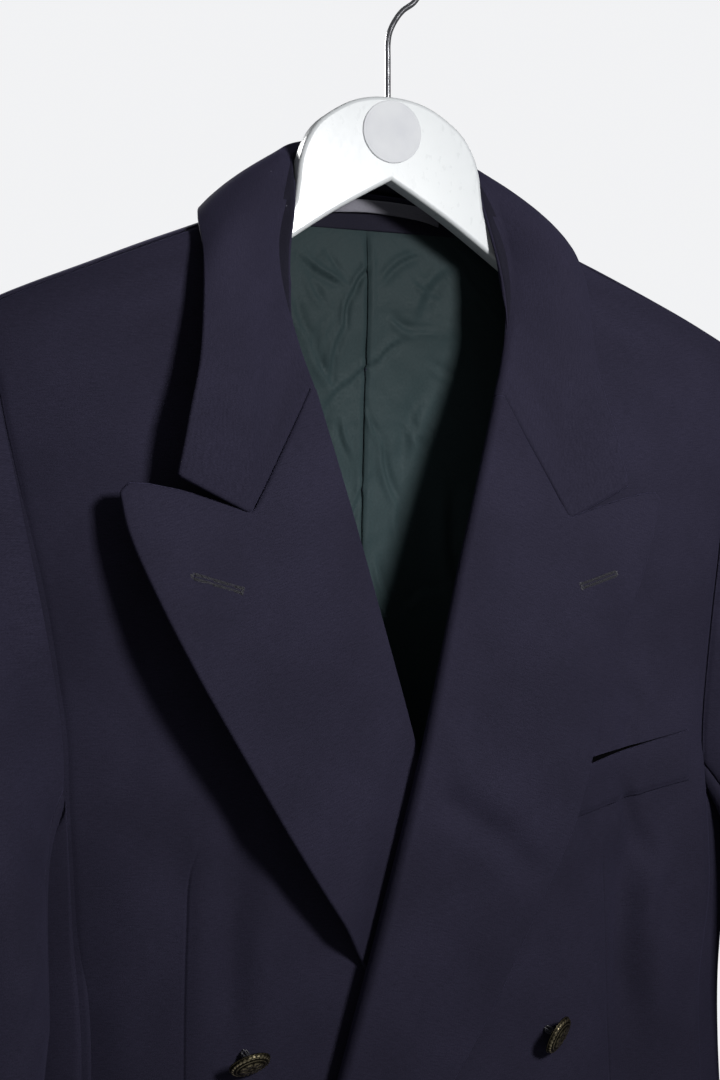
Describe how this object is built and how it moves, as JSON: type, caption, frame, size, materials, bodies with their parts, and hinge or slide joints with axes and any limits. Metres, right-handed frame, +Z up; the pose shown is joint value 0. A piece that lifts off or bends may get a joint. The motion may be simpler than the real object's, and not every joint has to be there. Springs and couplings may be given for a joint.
{
  "type": "double breasted blazer on a hanger",
  "caption": "Navy double breasted blazer with peak lapels, breast welt, flap pockets and brass shank buttons, hung open at the neck on a flat white hanger with a wire hook",
  "frame": {"origin": "the point where the inside of the hanger's hook bears on a rail", "axes": "+Z up, -Y the way the garment's front faces, +X towards the wearer's left"},
  "size_m": [0.6298, 0.1508, 0.9032],
  "materials": {
    "navy_wool": "fine worsted wool, matt, very dark navy",
    "green_lining": "dark green satin lining with a soft sheen",
    "grey_tape": "grey satin tape",
    "aged_brass": "aged brass, domed, with a raised plain pattern",
    "white_lacquer": "smooth white, semi-gloss",
    "chrome_wire": "polished wire",
    "plain_paper": "plain matt disc"
  },
  "bodies": {
    "root": {"left_front": "navy_wool", "right_front": "navy_wool", "left_side_panel": "navy_wool", "right_side_panel": "navy_wool", "left_back": "navy_wool", "right_back": "navy_wool", "left_lapel": "navy_wool", "right_lapel": "navy_wool", "collar": "navy_wool", "collar_stand": "navy_wool", "neck_facing": "navy_wool", "hanging_loop": "grey_tape", "left_back_lining": "green_lining", "right_back_lining": "green_lining", "left_upper_sleeve": "navy_wool", "right_upper_sleeve": "navy_wool", "left_under_sleeve": "navy_wool", "right_under_sleeve": "navy_wool", "breast_welt": "navy_wool", "left_pocket_flap": "navy_wool", "right_pocket_flap": "navy_wool", "left_top_button": "aged_brass", "right_top_button": "aged_brass", "left_closing_button": "aged_brass", "right_closing_button": "aged_brass", "left_cuff_button_1": "aged_brass", "left_cuff_button_2": "aged_brass", "left_cuff_button_3": "aged_brass", "right_cuff_button_1": "aged_brass", "right_cuff_button_2": "aged_brass", "right_cuff_button_3": "aged_brass", "hanger_body": "white_lacquer", "hanger_hook": "chrome_wire", "hanger_disc": "plain_paper"}
  },
  "joints": []
}
